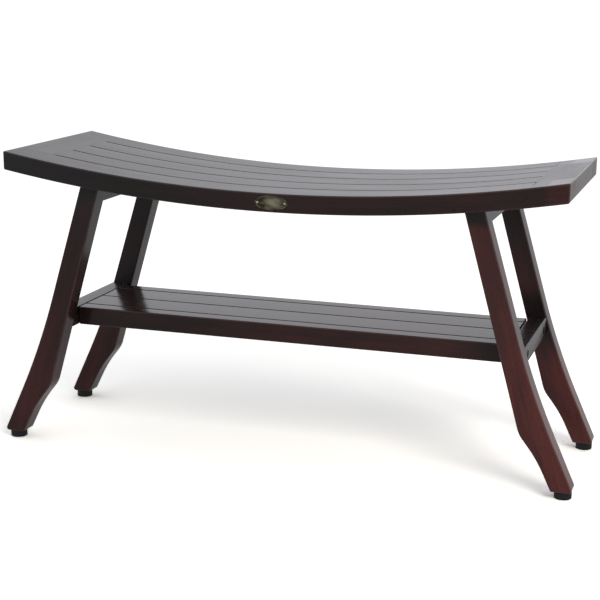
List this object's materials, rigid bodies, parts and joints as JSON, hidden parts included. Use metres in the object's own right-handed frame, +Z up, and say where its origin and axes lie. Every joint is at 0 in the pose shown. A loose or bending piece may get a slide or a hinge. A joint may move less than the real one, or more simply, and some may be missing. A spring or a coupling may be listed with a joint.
{
  "type": "shower bench",
  "caption": "Wooden shower bench with a dipped slatted seat on splayed sabre legs, a slatted lower shelf and screw-in levelling feet.",
  "frame": {"origin": "on the floor, at the centre of the footprint", "axes": "+X along the bench to the sitter's left as they face the front, -Y out of the front with the badge, +Z up"},
  "size_m": [0.9136, 0.305, 0.466],
  "materials": {
    "stained_teak": "satin dark brown stain, fine straight grain",
    "stainless_steel": "satin",
    "black_rubber": "matt",
    "aged_brass": "aged, with a brown patina"
  },
  "bodies": {
    "bench": {"seat_front_rail": "stained_teak", "seat_back_rail": "stained_teak", "seat_slat_front": "stained_teak", "seat_slat_middle": "stained_teak", "seat_slat_back": "stained_teak", "seat_end_board_left": "stained_teak", "seat_end_board_right": "stained_teak", "seat_batten_left": "stained_teak", "seat_batten_right": "stained_teak", "leg_front_left": "stained_teak", "leg_front_right": "stained_teak", "leg_back_left": "stained_teak", "leg_back_right": "stained_teak", "upper_cross_rail_left": "stained_teak", "upper_cross_rail_right": "stained_teak", "lower_cross_rail_left": "stained_teak", "lower_cross_rail_right": "stained_teak", "shelf_front_rail": "stained_teak", "shelf_back_rail": "stained_teak", "shelf_slat_front": "stained_teak", "shelf_slat_back": "stained_teak", "shelf_batten_left": "stained_teak", "shelf_batten_middle": "stained_teak", "shelf_batten_right": "stained_teak", "seat_corner_dowels": "stained_teak", "leg_top_dowels": "stained_teak", "seat_slat_screws": "stainless_steel", "seat_batten_screws": "stainless_steel", "shelf_batten_screws": "stainless_steel", "shelf_bolts": "stainless_steel", "shelf_bolt_washers": "stainless_steel", "shelf_barrel_nuts": "stainless_steel", "foot_inserts": "stainless_steel", "badge_plate": "aged_brass", "badge_pins": "aged_brass"},
    "foot_front_left": {"foot_pad_front_left": "black_rubber", "foot_stud_front_left": "stainless_steel"},
    "foot_front_right": {"foot_pad_front_right": "black_rubber", "foot_stud_front_right": "stainless_steel"},
    "foot_back_left": {"foot_pad_back_left": "black_rubber", "foot_stud_back_left": "stainless_steel"},
    "foot_back_right": {"foot_pad_back_right": "black_rubber", "foot_stud_back_right": "stainless_steel"}
  },
  "joints": [
    {"name": "foot_front_left_height", "type": "slide", "parent": "bench", "child": "foot_front_left", "axis": [0, 0, -1], "range_m": [0, 0.006]},
    {"name": "foot_front_right_height", "type": "slide", "parent": "bench", "child": "foot_front_right", "axis": [0, 0, -1], "range_m": [0, 0.006]},
    {"name": "foot_back_left_height", "type": "slide", "parent": "bench", "child": "foot_back_left", "axis": [0, 0, -1], "range_m": [0, 0.006]},
    {"name": "foot_back_right_height", "type": "slide", "parent": "bench", "child": "foot_back_right", "axis": [0, 0, -1], "range_m": [0, 0.006]}
  ]
}
